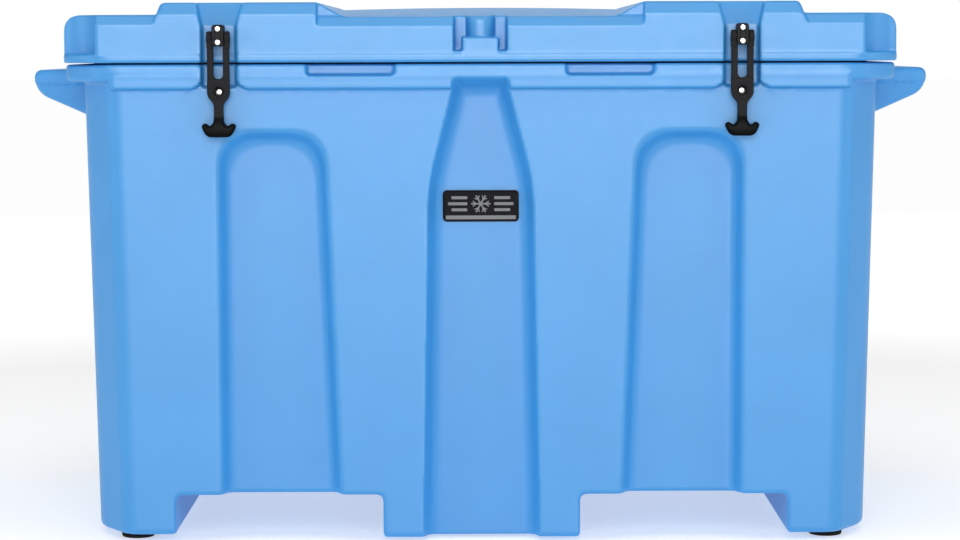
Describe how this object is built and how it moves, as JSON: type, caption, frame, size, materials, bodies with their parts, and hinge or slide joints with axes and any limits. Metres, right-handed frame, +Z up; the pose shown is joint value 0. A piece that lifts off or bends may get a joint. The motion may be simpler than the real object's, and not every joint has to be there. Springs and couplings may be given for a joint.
{
  "type": "insulated chest cooler",
  "caption": "Large rotationally moulded insulated chest cooler with a hinged lid, rubber strap latches, end handles, fork pockets under the base and a drain plug.",
  "frame": {"origin": "on the floor under the middle of the closed cooler, latches and hinges included", "axes": "+X to the right seen from the front, along the length; the front with the latches faces -Y; +Z up"},
  "size_m": [1.3818, 0.768, 0.8057],
  "materials": {
    "tub_plastic": "satin",
    "lid_plastic": "satin",
    "foam": "matte",
    "latch_rubber": "satin",
    "foot_rubber": "matte",
    "seal_rubber": "matte",
    "steel": "satin",
    "black_nylon": "satin",
    "badge": "gloss"
  },
  "bodies": {
    "tub": {"tub_shell": "tub_plastic", "tub_foam_core": "foam", "badge_plate": "badge", "drain_bulkhead": "black_nylon", "tub_fill_plug_left": "black_nylon", "keeper_left": "black_nylon", "keeper_screw_left": "steel", "hinge_pin_left": "steel", "hinge_cap_left_inner": "black_nylon", "hinge_cap_left_outer": "black_nylon", "foot_front_left": "foot_rubber", "foot_screw_front_left": "steel", "foot_rear_left": "foot_rubber", "foot_screw_rear_left": "steel", "tub_fill_plug_right": "black_nylon", "keeper_right": "black_nylon", "keeper_screw_right": "steel", "hinge_pin_right": "steel", "hinge_cap_right_inner": "black_nylon", "hinge_cap_right_outer": "black_nylon", "foot_front_right": "foot_rubber", "foot_screw_front_right": "steel", "foot_rear_right": "foot_rubber", "foot_screw_rear_right": "steel"},
    "lid": {"lid_shell": "lid_plastic", "lid_foam_core": "foam", "lid_gasket": "seal_rubber", "lid_fill_plug": "black_nylon", "latch_anchor_left": "black_nylon", "latch_pin_left": "steel", "anchor_screw_upper_left": "steel", "anchor_screw_lower_left": "steel", "latch_anchor_right": "black_nylon", "latch_pin_right": "steel", "anchor_screw_upper_right": "steel", "anchor_screw_lower_right": "steel"},
    "latch_left": {"latch_strap_left": "latch_rubber"},
    "latch_right": {"latch_strap_right": "latch_rubber"},
    "drain_plug": {"drain_cap": "black_nylon", "drain_cap_seal": "seal_rubber"}
  },
  "joints": [
    {"name": "lid_hinge", "type": "hinge", "parent": "tub", "child": "lid", "pos_m": [0, 0.373, 0.7158], "axis": [-1, 0, 0], "range_deg": [0, 100]},
    {"name": "latch_left_pivot", "type": "hinge", "parent": "lid", "child": "latch_left", "pos_m": [-0.3853, -0.372, 0.755], "axis": [-1, 0, 0], "range_deg": [0, 165]},
    {"name": "latch_right_pivot", "type": "hinge", "parent": "lid", "child": "latch_right", "pos_m": [0.3853, -0.372, 0.755], "axis": [-1, 0, 0], "range_deg": [0, 165]},
    {"name": "drain_plug_pull", "type": "slide", "parent": "tub", "child": "drain_plug", "axis": [-1, 0, 0], "range_m": [0, 0.06]}
  ]
}
